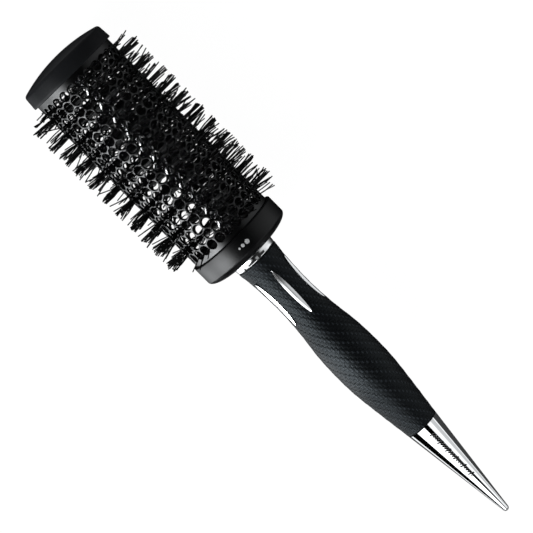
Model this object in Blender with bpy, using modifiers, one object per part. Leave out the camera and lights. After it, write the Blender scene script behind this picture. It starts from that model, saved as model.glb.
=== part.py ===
"""Round barrel brush for blow-drying hair, lying on its bristles.

The brush is built along a local +Z axis from the crown of the end cap to the handle's tip, and the
brush_axis empty lays that axis along world +X. A station is a distance along the axis from the crown.
"""

import math

import bmesh
import bpy

MM = 0.001

# Whole brush
LENGTH = 255.0 * MM
BRISTLE_RADIUS = 27.0 * MM
CLEARANCE = 0.3 * MM

# Perforated barrel
BARREL_START = 5.0 * MM
BARREL_END = 100.2 * MM
BARREL_RADIUS = 19.0 * MM
BARREL_WALL = 0.9 * MM
HOLE_COLUMNS = 21
HOLES_ROUND = 26
FIRST_COLUMN = 13.2 * MM
COLUMN_PITCH = 3.975 * MM
HOLE_SIDE = 3.2 * MM  # the square of the same area as a round 3.6 mm hole
HOLE_STEP = math.tau / HOLES_ROUND

# End cap
CAP_RADIUS = 20.35 * MM
CAP_SKIRT_END = 9.25 * MM
CAP_DOME_RADIUS = 68.0 * MM
CAP_FLAT_RADIUS = 4.5 * MM
CAP_EDGE_RADIUS = 1.3 * MM
CAP_CEILING = 3.2 * MM
CAP_CEILING_RADIUS = 12.0 * MM
CAP_SEAT = 4.7 * MM
CAP_SEAT_RADIUS = 16.0 * MM

# Hubs and ferrules on the twisted wire
HUB_RADIUS = 17.8 * MM
HUB_BORE = 2.6 * MM
END_HUB = (5.6 * MM, 9.6 * MM)
BASE_HUB = (95.2 * MM, 99.8 * MM)
FERRULE_BORE = 2.5 * MM
FERRULE_RADIUS = 3.6 * MM
END_FERRULE = (3.7 * MM, 5.3 * MM)
BASE_FERRULE = (100.2 * MM, 103.0 * MM)

# Twisted wire
WIRE_START = 4.0 * MM
WIRE_END = 102.6 * MM
WIRE_RADIUS = 1.0 * MM
WIRE_LAY_RADIUS = 1.2 * MM
WIRE_PITCH = 15.2 * MM
WIRE_POINTS_PER_TURN = 8

# Bristle turns
BRISTLES_ROUND = HOLES_ROUND // 2  # a turn's bristles pass through every second hole of its column
BRISTLE_THICKNESS = 1.7 * MM
BRISTLE_HALF_WIDTH = 0.8 * MM
BRISTLE_HUB_BORE = 2.6 * MM
BRISTLE_HUB_RADIUS = 3.8 * MM
BRISTLE_HUB_SIDES = 12

# Collar
COLLAR_START = 96.6 * MM
COLLAR_EDGE = 104.2 * MM
COLLAR_END = 108.5 * MM
COLLAR_NECK_RADIUS = 9.9 * MM
COLLAR_SEAT = 100.5 * MM
COLLAR_CAVITY_RADIUS = 17.4 * MM
COLLAR_FLOOR = 104.6 * MM
COLLAR_FLOOR_RADIUS = 10.5 * MM

# Neck sleeve, with one rib in each window of the grip
SLEEVE_START = 108.8 * MM
RING_END = 110.7 * MM
RING_RADIUS = 9.8 * MM
RING_EDGE_RADIUS = 0.6 * MM
SLEEVE_RADIUS = 7.2 * MM
SLEEVE_BORE = 4.8 * MM
SLEEVE_END = 142.0 * MM
RIB_LENGTH = 22.6 * MM
RIB_WIDTH = 2.3 * MM
RIB_FOOT = 6.0 * MM
RIB_TOP = 8.3 * MM

# Grip
GRIP_START = 111.0 * MM
GRIP_END = 205.7 * MM
GRIP_OUTLINE = (  # station and radius of the waist, the belly and what lies between
    (111.0 * MM, 9.65 * MM),
    (118.5 * MM, 8.80 * MM),
    (132.5 * MM, 8.35 * MM),
    (144.5 * MM, 9.10 * MM),
    (156.5 * MM, 10.55 * MM),
    (167.0 * MM, 11.00 * MM),
    (177.0 * MM, 10.75 * MM),
    (189.0 * MM, 9.45 * MM),
    (205.7 * MM, 7.30 * MM),
)
GRIP_RINGS = 22
WINDOWS = 6
WINDOW_PHASE = math.radians(-2.7)  # the top window's turn from straight up
WINDOW_STATION = 128.3 * MM
WINDOW_LENGTH = 23.2 * MM
WINDOW_WIDTH = 2.9 * MM
WINDOW_FOOT = 5.5 * MM
WINDOW_TOP = 11.0 * MM
LEAF_POINTS = 6

# Handle core inside the sleeve, the grip and the tip
CORE_START = 103.6 * MM
CORE_ROD_RADIUS = 4.5 * MM
CORE_SHOULDER = 143.2 * MM
CORE_BELLY = (
    (145.0 * MM, 6.4 * MM),
    (156.0 * MM, 8.0 * MM),
    (167.0 * MM, 8.6 * MM),
    (178.0 * MM, 8.2 * MM),
    (190.0 * MM, 6.9 * MM),
    (203.0 * MM, 5.0 * MM),
)
CORE_END = 212.0 * MM
CORE_SOCKET = 197.0 * MM
CORE_SOCKET_RADIUS = 2.5 * MM

# Tip and its stud
TIP_START = 206.0 * MM
TIP_BASE_RADIUS = 7.25 * MM
TIP_END_RADIUS = 1.4 * MM
TIP_BORE = CORE_BELLY[-1][1] + CLEARANCE
TIP_WALL = 1.6 * MM
TIP_CAVITY_END = 238.0 * MM
STUD_START = 197.5 * MM
STUD_END = 226.0 * MM
STUD_RADIUS = 2.2 * MM

FINE_STEPS = 28
COARSE_STEPS = 20
SHARP_ANGLE = math.radians(35)
MERGE = 0.00001

# Name: colour, roughness, metallic
FINISHES = {
    "satin_black": ((0.012, 0.012, 0.014, 1.0), 0.42, 0.0),
    "barrel_black": ((0.010, 0.010, 0.012, 1.0), 0.16, 0.3),
    "nylon_black": ((0.008, 0.008, 0.008, 1.0), 0.35, 0.0),
    "steel_wire": ((0.62, 0.62, 0.63, 1.0), 0.28, 1.0),
    "brass_crimp": ((0.70, 0.55, 0.28, 1.0), 0.35, 1.0),
    "hub_grey": ((0.05, 0.05, 0.055, 1.0), 0.6, 0.0),
    "chrome": ((0.86, 0.86, 0.87, 1.0), 0.06, 1.0),
    "grip_rubber": ((0.018, 0.019, 0.021, 1.0), 0.55, 0.0),
}


def clear_scene():
    for obj in list(bpy.data.objects):
        bpy.data.objects.remove(obj, do_unlink=True)


def new_collection(name):
    collection = bpy.data.collections.new(name)
    bpy.context.scene.collection.children.link(collection)
    return collection


def new_material(name):
    colour, roughness, metallic = FINISHES[name]
    material = bpy.data.materials.new(name)
    material.use_nodes = True
    shader = material.node_tree.nodes["Principled BSDF"]
    shader.inputs["Base Color"].default_value = colour
    shader.inputs["Roughness"].default_value = roughness
    shader.inputs["Metallic"].default_value = metallic
    return material


def add_part(name, data, finish):
    """One sub-part on the brush axis, with its own material."""
    part = bpy.data.objects.new(name, data)
    part.parent = bpy.data.objects["brush_axis"]
    bpy.data.collections["round_barrel_brush"].objects.link(part)
    material = new_material(finish)
    material.name = f"{name}_{finish}"
    data.materials.append(material)
    return part


def add_shape(name, data):
    """A helper that a Boolean joins to a part or cuts from it."""
    shape = bpy.data.objects.new(name, data)
    shape.parent = bpy.data.objects["brush_axis"]
    bpy.data.collections["boolean_shapes"].objects.link(shape)
    shape.hide_render = True
    shape.display_type = "WIRE"
    return shape


def arc(station, radius, reach, start, end, count, rise=None):
    """Points of an arc in the profile plane: angle 0 points to the tip and a right angle outward.
    With a rise unlike its reach, the arc is part of an ellipse."""
    across = reach if rise is None else rise
    angles = [start + (end - start) * i / (count - 1) for i in range(count)]
    return [(station + reach * math.cos(a), radius + across * math.sin(a)) for a in angles]


def smooth_radius(knots, station):
    """The radius at a station on the smooth curve through the knots."""
    last = len(knots) - 1
    slopes = []
    for i in range(last + 1):
        before, after = knots[max(i - 1, 0)], knots[min(i + 1, last)]
        slopes.append((after[1] - before[1]) / (after[0] - before[0]))
    i = max(k for k in range(last) if knots[k][0] <= station)
    span = knots[i + 1][0] - knots[i][0]
    t = (station - knots[i][0]) / span
    start, end = knots[i][1], knots[i + 1][1]
    rise = (3 * t**2 - 2 * t**3) * (end - start)
    bend = (t**3 - 2 * t**2 + t) * slopes[i] + (t**3 - t**2) * slopes[i + 1]
    return start + rise + bend * span


def turned(name, finish, profile, steps, closed):
    """A body of revolution. The profile runs along the outer side from the cap's end to the tip's end,
    and a closed one comes back along the inner side. An open one starts and ends on the axis."""
    mesh = bpy.data.meshes.new(name)
    points = [(radius, 0.0, station) for station, radius in reversed(profile)]
    edges = [(i, i + 1) for i in range(len(points) - 1)]
    if closed:
        edges.append((len(points) - 1, 0))
    mesh.from_pydata(points, edges, [])
    part = add_part(name, mesh, finish)
    screw = part.modifiers.new("turn", "SCREW")
    screw.axis = "Z"
    screw.steps = steps
    screw.render_steps = steps
    screw.use_merge_vertices = True
    screw.merge_threshold = MERGE
    screw.use_smooth_shade = True
    return part


def ring(name, finish, ends, bore, radius, steps):
    start, end = ends
    profile = [(start, bore), (start, radius), (end, radius), (end, bore)]
    return turned(name, finish, profile, steps, closed=True)


def build_end_cap():
    """A shallow dome with a small flat at its crown, rounded into the skirt."""
    edge_centre_radius = CAP_RADIUS - CAP_EDGE_RADIUS
    edge_angle = math.asin(edge_centre_radius / (CAP_DOME_RADIUS - CAP_EDGE_RADIUS))
    flat_angle = math.asin(CAP_FLAT_RADIUS / CAP_DOME_RADIUS)
    dome_centre = CAP_DOME_RADIUS * math.cos(flat_angle)
    edge_centre = dome_centre - (CAP_DOME_RADIUS - CAP_EDGE_RADIUS) * math.cos(edge_angle)
    dome = arc(dome_centre, 0.0, CAP_DOME_RADIUS, math.pi - flat_angle, math.pi - edge_angle, 6)
    edge = arc(edge_centre, edge_centre_radius, CAP_EDGE_RADIUS, math.pi - edge_angle, math.pi / 2, 4)
    seat_radius = BARREL_RADIUS + CLEARANCE
    profile = [
        (0.0, 0.0),
        *dome,
        *edge[1:],
        (CAP_SKIRT_END, CAP_RADIUS),
        (CAP_SKIRT_END, seat_radius),
        (CAP_SEAT, seat_radius),
        (CAP_SEAT, CAP_SEAT_RADIUS),
        (CAP_CEILING, CAP_CEILING_RADIUS),
        (CAP_CEILING, 0.0),
    ]
    return turned("end_cap", "satin_black", profile, FINE_STEPS, closed=False)


def ring_angles(shift):
    """The corners of one column's holes: each pair of corners straddles a hole's middle."""
    half_hole = HOLE_SIDE / 2 / BARREL_RADIUS
    spread = half_hole - HOLE_STEP / 4
    for k in range(2 * HOLES_ROUND):
        side = -1 if (k + shift) % 2 else 1
        yield (k + 0.5) * HOLE_STEP / 2 + side * spread


def build_barrel():
    """A sheet rolled round the axis. Each column of holes is one band of the sheet with every second
    panel left out, and the next column is turned by half a step."""
    rings = [(BARREL_START, 0)]
    for column in range(HOLE_COLUMNS):
        middle = FIRST_COLUMN + column * COLUMN_PITCH
        rings.append((middle - HOLE_SIDE / 2, column))
        rings.append((middle + HOLE_SIDE / 2, column))
    rings.append((BARREL_END, HOLE_COLUMNS - 1))
    sheet = bmesh.new()
    rows = []
    for station, column in rings:
        rows.append([
            sheet.verts.new((BARREL_RADIUS * math.cos(a), BARREL_RADIUS * math.sin(a), station))
            for a in ring_angles(column)
        ])
    around = 2 * HOLES_ROUND
    for i in range(len(rows) - 1):
        column = rings[i][1]
        has_holes = i % 2 == 1
        for k in range(around):
            if has_holes and (k + column) % 2:
                continue
            after = (k + 1) % around
            sheet.faces.new((rows[i][k], rows[i][after], rows[i + 1][after], rows[i + 1][k]))
    mesh = bpy.data.meshes.new("barrel")
    sheet.to_mesh(mesh)
    sheet.free()
    barrel = add_part("barrel", mesh, "barrel_black")
    wall = barrel.modifiers.new("wall", "SOLIDIFY")
    wall.thickness = BARREL_WALL
    wall.offset = -1.0
    return barrel


def build_core_wires():
    turns = (WIRE_END - WIRE_START) / WIRE_PITCH
    count = round(turns * WIRE_POINTS_PER_TURN) + 1
    for name, phase in (("core_wire_a", 0.0), ("core_wire_b", math.pi)):
        curve = bpy.data.curves.new(name, "CURVE")
        curve.dimensions = "3D"
        curve.bevel_depth = WIRE_RADIUS
        curve.bevel_resolution = 2
        curve.use_fill_caps = True
        spline = curve.splines.new("POLY")
        spline.points.add(count - 1)
        for i, point in enumerate(spline.points):
            share = i / (count - 1)
            angle = phase + share * turns * math.tau
            station = WIRE_START + share * (WIRE_END - WIRE_START)
            x = WIRE_LAY_RADIUS * math.cos(angle)
            y = WIRE_LAY_RADIUS * math.sin(angle)
            point.co = (x, y, station, 1.0)
        add_part(name, curve, "steel_wire")


def add_outline(curve, points):
    spline = curve.splines.new("POLY")
    spline.points.add(len(points) - 1)
    for point, (x, y) in zip(spline.points, points):
        point.co = (x, y, 0.0, 1.0)
    spline.use_cyclic_u = True


def flat_curve(name, thickness):
    curve = bpy.data.curves.new(name, "CURVE")
    curve.dimensions = "2D"
    curve.fill_mode = "BOTH"
    curve.extrude = thickness / 2
    return curve


def polar(radius, angle):
    return radius * math.cos(angle), radius * math.sin(angle)


def bristle_turn_curve():
    """One turn of bristles as a flat star: a hub round the wire and a spike at every second hole.
    One spike points straight up, so none points straight down."""
    curve = flat_curve("bristle_turn", BRISTLE_THICKNESS)
    foot = math.asin(BRISTLE_HALF_WIDTH / BRISTLE_HUB_RADIUS)
    star = []
    for i in range(BRISTLES_ROUND):
        middle = math.pi + i * math.tau / BRISTLES_ROUND
        star.append(polar(BRISTLE_HUB_RADIUS, middle - foot))
        star.append(polar(BRISTLE_RADIUS, middle))
        star.append(polar(BRISTLE_HUB_RADIUS, middle + foot))
    add_outline(curve, star)
    sides = range(BRISTLE_HUB_SIDES)
    add_outline(curve, [polar(BRISTLE_HUB_BORE, i * math.tau / BRISTLE_HUB_SIDES) for i in sides])
    return curve


def build_bristle_turns():
    """The turns of the offset columns lean half a step to one side and then to the other, so that the
    brush lies level on two rows of bristles."""
    shared = bristle_turn_curve()
    turns = (0.0, HOLE_STEP / 2, 0.0, -HOLE_STEP / 2)
    for column in range(HOLE_COLUMNS):
        name = f"bristle_turn_{column + 1:02d}"
        part = add_part(name, shared.copy(), "nylon_black")
        part.location.z = FIRST_COLUMN + column * COLUMN_PITCH
        part.rotation_euler.z = turns[column % len(turns)]
    bpy.data.curves.remove(shared)


def build_collar():
    depth = COLLAR_END - COLLAR_EDGE
    rise = CAP_RADIUS - COLLAR_NECK_RADIUS
    back = arc(COLLAR_EDGE, COLLAR_NECK_RADIUS, depth, math.pi / 2, 0.0, 8, rise)
    seat_radius = BARREL_RADIUS + CLEARANCE
    core_hole = CORE_ROD_RADIUS + CLEARANCE
    profile = [
        (COLLAR_START, seat_radius),
        (COLLAR_START, CAP_RADIUS),
        *back,
        (COLLAR_END, core_hole),
        (COLLAR_FLOOR, core_hole),
        (COLLAR_FLOOR, COLLAR_FLOOR_RADIUS),
        (COLLAR_SEAT, COLLAR_CAVITY_RADIUS),
        (COLLAR_SEAT, seat_radius),
    ]
    return turned("collar", "satin_black", profile, FINE_STEPS, closed=True)


def leaf_shape(name, length, width, foot, top, angle):
    """A prism with a leaf outline, standing out from the axis between two radii."""
    curve = flat_curve(name, top - foot)
    half = []
    for i in range(LEAF_POINTS + 1):
        t = i / LEAF_POINTS
        half.append((width / 2 * math.sin(math.pi * t), (t - 0.5) * length))
    add_outline(curve, half + [(-x, y) for x, y in reversed(half[1:-1])])
    flat = bpy.data.objects.new(name, curve)
    bpy.context.scene.collection.objects.link(flat)
    flat.rotation_euler = (math.pi / 2, 0.0, angle)
    middle = (foot + top) / 2
    flat.location = (middle * math.sin(angle), -middle * math.cos(angle), WINDOW_STATION)
    bpy.context.view_layer.update()
    evaluated = flat.evaluated_get(bpy.context.evaluated_depsgraph_get())
    mesh = bpy.data.meshes.new_from_object(evaluated)
    weld = bmesh.new()
    weld.from_mesh(mesh)
    bmesh.ops.remove_doubles(weld, verts=weld.verts, dist=MERGE)
    weld.to_mesh(mesh)
    weld.free()
    shape = add_shape(name, mesh)
    shape.matrix_local = flat.matrix_world.copy()
    bpy.data.objects.remove(flat)
    bpy.data.curves.remove(curve)
    return shape


def window_angles():
    return [i * math.tau / WINDOWS - math.pi / 2 + WINDOW_PHASE for i in range(WINDOWS)]


def add_boolean(part, shape, operation):
    boolean = part.modifiers.new(shape.name, "BOOLEAN")
    boolean.operation = operation
    boolean.solver = "EXACT"
    boolean.object = shape


def build_neck_sleeve():
    edge = RING_EDGE_RADIUS
    flank = RING_RADIUS - edge
    profile = [
        (SLEEVE_START, SLEEVE_BORE),
        *arc(SLEEVE_START + edge, flank, edge, math.pi, math.pi / 2, 3),
        *arc(RING_END - edge, flank, edge, math.pi / 2, 0.0, 3),
        (RING_END, SLEEVE_RADIUS),
        (SLEEVE_END, SLEEVE_RADIUS),
        (SLEEVE_END, SLEEVE_BORE),
    ]
    sleeve = turned("neck_sleeve", "chrome", profile, FINE_STEPS, closed=True)
    for i, angle in enumerate(window_angles()):
        rib = leaf_shape(f"rib_{i + 1}", RIB_LENGTH, RIB_WIDTH, RIB_FOOT, RIB_TOP, angle)
        add_boolean(sleeve, rib, "UNION")
    return sleeve


def build_grip():
    bore = SLEEVE_RADIUS + CLEARANCE
    outside = []
    for i in range(GRIP_RINGS + 1):
        station = GRIP_START + (GRIP_END - GRIP_START) * i / GRIP_RINGS
        outside.append((station, smooth_radius(GRIP_OUTLINE, station)))
    inside = [(GRIP_START, bore), (SLEEVE_END + CLEARANCE, bore)]
    inside += [(station, radius + CLEARANCE) for station, radius in CORE_BELLY]
    inside.append((GRIP_END, CORE_BELLY[-1][1] + CLEARANCE))
    grip = turned("grip", "grip_rubber", outside + inside[::-1], FINE_STEPS, closed=True)
    for i, angle in enumerate(window_angles()):
        name = f"window_{i + 1}"
        window = leaf_shape(name, WINDOW_LENGTH, WINDOW_WIDTH, WINDOW_FOOT, WINDOW_TOP, angle)
        add_boolean(grip, window, "DIFFERENCE")
    return grip


def build_handle_core():
    profile = [
        (CORE_START, 0.0),
        (CORE_START, CORE_ROD_RADIUS),
        (CORE_SHOULDER, CORE_ROD_RADIUS),
        *CORE_BELLY,
        (CORE_END, CORE_BELLY[-1][1]),
        (CORE_END, CORE_SOCKET_RADIUS),
        (CORE_SOCKET, CORE_SOCKET_RADIUS),
        (CORE_SOCKET, 0.0),
    ]
    return turned("handle_core", "hub_grey", profile, COARSE_STEPS, closed=False)


def tip_radius(station):
    taper = (TIP_BASE_RADIUS - TIP_END_RADIUS) / (LENGTH - TIP_END_RADIUS - TIP_START)
    return TIP_BASE_RADIUS - taper * (station - TIP_START)


def build_tip():
    """A hollow cone, open at its base. The profile runs from the cavity's end round the base."""
    cavity_start = CORE_END + CLEARANCE
    profile = [
        (TIP_CAVITY_END, 0.0),
        (TIP_CAVITY_END, tip_radius(TIP_CAVITY_END) - TIP_WALL),
        (cavity_start, tip_radius(cavity_start) - TIP_WALL),
        (cavity_start, TIP_BORE),
        (TIP_START, TIP_BORE),
        (TIP_START, TIP_BASE_RADIUS),
        *arc(LENGTH - TIP_END_RADIUS, 0.0, TIP_END_RADIUS, math.pi / 2, 0.0, 5),
    ]
    return turned("tip", "chrome", profile, COARSE_STEPS, closed=False)


def build_tip_stud():
    profile = [(STUD_START, 0.0), (STUD_START, STUD_RADIUS), (STUD_END, STUD_RADIUS), (STUD_END, 0.0)]
    return turned("tip_stud", "steel_wire", profile, COARSE_STEPS // 2, closed=False)


def shade_round_parts():
    for obj in bpy.data.collections["round_barrel_brush"].objects:
        if obj.type == "MESH" and obj.data.polygons:
            obj.data.shade_smooth()
            obj.data.set_sharp_from_angle(angle=SHARP_ANGLE)


def main():
    clear_scene()
    new_collection("round_barrel_brush")
    new_collection("boolean_shapes")
    axis = bpy.data.objects.new("brush_axis", None)
    axis.location = (-LENGTH / 2, 0.0, BRISTLE_RADIUS * math.cos(HOLE_STEP / 2))
    axis.rotation_euler.y = math.pi / 2
    bpy.data.collections["round_barrel_brush"].objects.link(axis)

    build_end_cap()
    ring("end_hub", "hub_grey", END_HUB, HUB_BORE, HUB_RADIUS, FINE_STEPS)
    ring("end_ferrule", "brass_crimp", END_FERRULE, FERRULE_BORE, FERRULE_RADIUS, COARSE_STEPS)
    build_barrel()
    build_core_wires()
    build_bristle_turns()
    ring("base_hub", "hub_grey", BASE_HUB, HUB_BORE, HUB_RADIUS, FINE_STEPS)
    ring("base_ferrule", "brass_crimp", BASE_FERRULE, FERRULE_BORE, FERRULE_RADIUS, COARSE_STEPS)
    build_collar()
    build_neck_sleeve()
    build_handle_core()
    build_grip()
    build_tip()
    build_tip_stud()
    shade_round_parts()


main()
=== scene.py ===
"""Round barrel brush: the finished pieces and a plain studio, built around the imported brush.

A station is a distance along the brush from the crown of its end cap, and a bearing is an angle round
its axis, from straight up towards -Y.
"""

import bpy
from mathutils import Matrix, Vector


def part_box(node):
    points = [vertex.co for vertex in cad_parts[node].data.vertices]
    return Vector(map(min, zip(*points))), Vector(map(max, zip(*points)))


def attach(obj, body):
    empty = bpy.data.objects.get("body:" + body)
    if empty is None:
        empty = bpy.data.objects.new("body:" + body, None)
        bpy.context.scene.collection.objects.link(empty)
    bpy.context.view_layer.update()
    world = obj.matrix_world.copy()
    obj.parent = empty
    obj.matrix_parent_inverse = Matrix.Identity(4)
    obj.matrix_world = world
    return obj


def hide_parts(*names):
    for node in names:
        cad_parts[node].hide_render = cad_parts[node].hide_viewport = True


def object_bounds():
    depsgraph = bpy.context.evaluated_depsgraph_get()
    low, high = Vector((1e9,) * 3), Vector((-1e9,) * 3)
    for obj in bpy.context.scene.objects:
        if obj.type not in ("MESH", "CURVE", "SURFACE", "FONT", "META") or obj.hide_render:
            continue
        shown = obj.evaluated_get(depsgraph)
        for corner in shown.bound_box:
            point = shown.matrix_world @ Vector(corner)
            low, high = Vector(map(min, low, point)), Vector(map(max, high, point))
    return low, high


bl_info = {
    "name": "Round Barrel Brush",
    "version": (1, 0, 0),
    "blender": (4, 5, 0),
    "location": "View3D > Sidebar > Brush",
    "description": "Builds the finished pieces of a round barrel brush and a plain studio for it",
    "category": "Object",
}

import math
import random

import bmesh
import bpy
from mathutils import Matrix, Vector

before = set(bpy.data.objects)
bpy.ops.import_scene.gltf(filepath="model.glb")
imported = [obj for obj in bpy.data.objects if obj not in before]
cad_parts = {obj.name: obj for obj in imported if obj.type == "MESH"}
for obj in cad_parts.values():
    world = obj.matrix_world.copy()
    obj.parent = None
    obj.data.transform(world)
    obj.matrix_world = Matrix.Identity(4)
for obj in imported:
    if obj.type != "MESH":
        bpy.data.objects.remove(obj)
CAD_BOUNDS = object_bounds()

MM = 0.001
BODY = "root"
ROUND_STEPS = 160  # points round the cap and the collar
SLIM_STEPS = 128  # points round the neck ring and the tip
STRAND_SIDES, FILAMENT_SIDES = 12, 6

CROWN_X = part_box("end_cap")[0][0]
AXIS_Z = (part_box("barrel")[0][2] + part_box("barrel")[1][2]) / 2


def station_span(node):
    """The stations at which a CAD node starts and ends."""
    low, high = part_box(node)
    return low[0] - CROWN_X, high[0] - CROWN_X


def node_radius(node):
    low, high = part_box(node)
    return (high[1] - low[1]) / 2


BARREL_START, BARREL_END = station_span("barrel")
BARREL_RADIUS = node_radius("barrel")
CAP_END = station_span("end_cap")[1]
CAP_RADIUS = node_radius("end_cap")
COLLAR_START, COLLAR_END = station_span("collar")
RING_START, SLEEVE_END = station_span("neck_sleeve")
RING_RADIUS = node_radius("neck_sleeve")
GRIP_START, GRIP_END = station_span("grip")
RUBBER_START, RUBBER_END = GRIP_START - 0.25 * MM, GRIP_END - 0.7 * MM
TIP_START, TIP_END = station_span("tip")
TIP_RADIUS = node_radius("tip")
WIRE_START, WIRE_END = station_span("core_wire_a")
COLUMNS = sum(name.startswith("bristle_turn_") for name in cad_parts)
FIRST_COLUMN = sum(station_span("bristle_turn_01")) / 2
LAST_COLUMN = sum(station_span(f"bristle_turn_{COLUMNS:02d}")) / 2
COLUMN_PITCH = (LAST_COLUMN - FIRST_COLUMN) / (COLUMNS - 1)
BRISTLE_RADIUS = CAD_BOUNDS[1][2] - AXIS_Z


def place(station, radius, bearing):
    """The point at a station, a distance from the axis and a bearing."""
    return Vector((
        CROWN_X + station,
        -radius * math.sin(bearing),
        AXIS_Z + radius * math.cos(bearing),
    ))


# Shader maths


def maths(operation, swapped=False):
    """An operator of Value that adds a Math node. In a swapped one, the value comes last."""

    def apply(self, *others):
        operands = [*others, self] if swapped else [self, *others]
        return self.graph.node("ShaderNodeMath", {"operation": operation}, operands)

    return apply


class Value:
    """One output of a node. Arithmetic on it adds Math nodes."""

    def __init__(self, graph, socket):
        self.graph = graph
        self.socket = socket

    def __neg__(self):
        return self * -1.0

    __add__ = __radd__ = maths("ADD")
    __sub__ = maths("SUBTRACT")
    __rsub__ = maths("SUBTRACT", swapped=True)
    __mul__ = __rmul__ = maths("MULTIPLY")
    __truediv__ = maths("DIVIDE")
    __rtruediv__ = maths("DIVIDE", swapped=True)
    __mod__ = maths("FLOORED_MODULO")
    __lt__ = maths("LESS_THAN")
    __gt__ = maths("GREATER_THAN")
    __abs__ = maths("ABSOLUTE")
    floor = maths("FLOOR")
    fraction = maths("FRACT")
    root = maths("SQRT")
    larger = maths("MAXIMUM")
    arctan2 = maths("ARCTAN2")


class Graph:
    """The node tree of a material or a world, filled by expressions."""

    def __init__(self, owner):
        owner.use_nodes = True
        self.tree = owner.node_tree
        self.tree.nodes.clear()

    def node(self, kind, settings=None, inputs=None, output=0):
        """Adds a node, sets it up, feeds its sockets and returns one of its outputs."""
        made = self.tree.nodes.new(kind)
        for name, value in (settings or {}).items():
            if name == "stops":
                self.set_stops(made.color_ramp, value)
            else:
                setattr(made, name, value)
        pairs = inputs.items() if isinstance(inputs, dict) else enumerate(inputs or [])
        for key, value in pairs:
            if isinstance(value, Value):
                self.tree.links.new(value.socket, made.inputs[key])
            elif value is not None:
                made.inputs[key].default_value = value
        return Value(self, made.outputs[output]) if made.outputs else None

    @staticmethod
    def set_stops(ramp, stops):
        while len(ramp.elements) > 1:
            ramp.elements.remove(ramp.elements[-1])
        ramp.elements[0].position = stops[0][0]
        ramp.elements[0].color = (stops[0][1],) * 3 + (1.0,)
        for position, level in stops[1:]:
            ramp.elements.new(position).color = (level,) * 3 + (1.0,)

    def rise(self, value, start, end):
        """0 before the start, 1 after the end and smooth between. The start may be the larger one."""
        return self.node(
            "ShaderNodeMapRange",
            {"interpolation_type": "SMOOTHSTEP"},
            {"Value": value, "From Min": start, "From Max": end},
        )

    def band(self, value, low, high, edge):
        return self.rise(value, low - edge, low + edge) * self.rise(value, high + edge, high - edge)

    def noise(self, vector, scale, detail):
        return self.node("ShaderNodeTexNoise", {}, {"Vector": vector, "Scale": scale, "Detail": detail})

    def streaks(self, x, y, z, detail):
        """Noise that is stretched by its three coordinates, for drawn and turned surfaces."""
        return self.noise(self.node("ShaderNodeCombineXYZ", {}, [x, y, z]), 1.0, detail)

    def blend(self, factor, first, second):
        """A mix of two colours."""
        sockets = {0: factor, 6: first, 7: second}
        return self.node("ShaderNodeMix", {"data_type": "RGBA"}, sockets, 2)

    def mottle(self, factor, colour, low, high):
        """A colour that goes from a darker to a lighter one."""
        return self.blend(factor, rgb(colour, low), rgb(colour, high))

    def bump(self, height, distance):
        return self.node("ShaderNodeBump", {}, {"Distance": distance, "Height": height})

    def where(self):
        """The object coordinates, and the station, bearing and radius that they give."""
        point = self.node("ShaderNodeTexCoord", output=3)
        x, y, z = self.split(point)
        across = -y
        up = z - AXIS_Z
        return point, x - CROWN_X, across.arctan2(up), (across * across + up * up).root()

    def split(self, vector):
        first = self.node("ShaderNodeSeparateXYZ", {}, [vector])
        outputs = first.socket.node.outputs
        return first, Value(self, outputs[1]), Value(self, outputs[2])


def finish_material(name, build):
    """A material whose Principled shader takes its constants and links from build.

    build gets the graph, the object coordinates, and the station, bearing and radius that they give."""
    material = bpy.data.materials.new(name)
    graph = Graph(material)
    shader = graph.node("ShaderNodeBsdfPrincipled", {}, build(graph, *graph.where()))
    graph.node("ShaderNodeOutputMaterial", {}, {"Surface": shader})
    return material


def rgb(colour, factor):
    """A colour for a socket, made darker or lighter by a factor."""
    return (*(factor * c for c in colour), 1.0)


# Materials


def barrel_coat(colour, roughness):
    """Gloss black coating on the barrel: faint drawn lines round it, orange peel and fine dust."""

    def build(g, point, station, bearing, radius):
        rings = g.streaks(station * 9000.0, bearing * 1.5, 0.0, 2.0)
        peel = g.noise(point, 900.0, 2.0)
        cloud = g.noise(point, 60.0, 3.0)
        dust = g.rise(g.noise(point, 4200.0, 1.0), 0.72, 0.82)
        shade = g.mottle(cloud, colour, 0.7, 1.3)
        dusty = g.blend(dust * 0.25, shade, (0.09, 0.09, 0.095, 1.0))
        wall = g.bump(rings * 0.4 + peel, 0.004 * MM)
        return {
            "Base Color": dusty,
            "Roughness": roughness + (cloud - 0.5) * 0.08 + (rings - 0.5) * 0.06,
            "Specular IOR Level": 0.37,
            "Normal": wall,
        }

    return finish_material("gloss_black_coat", build)


# How far round the collar each printed dot lies, and its radius
SIZE_DOTS = ((-1.9 * MM, 0.95 * MM), (0.4 * MM, 0.7 * MM), (2.2 * MM, 0.45 * MM))
DOTS_STATION = COLLAR_START + 4.4 * MM
INK_EDGE = 0.07 * MM


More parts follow.
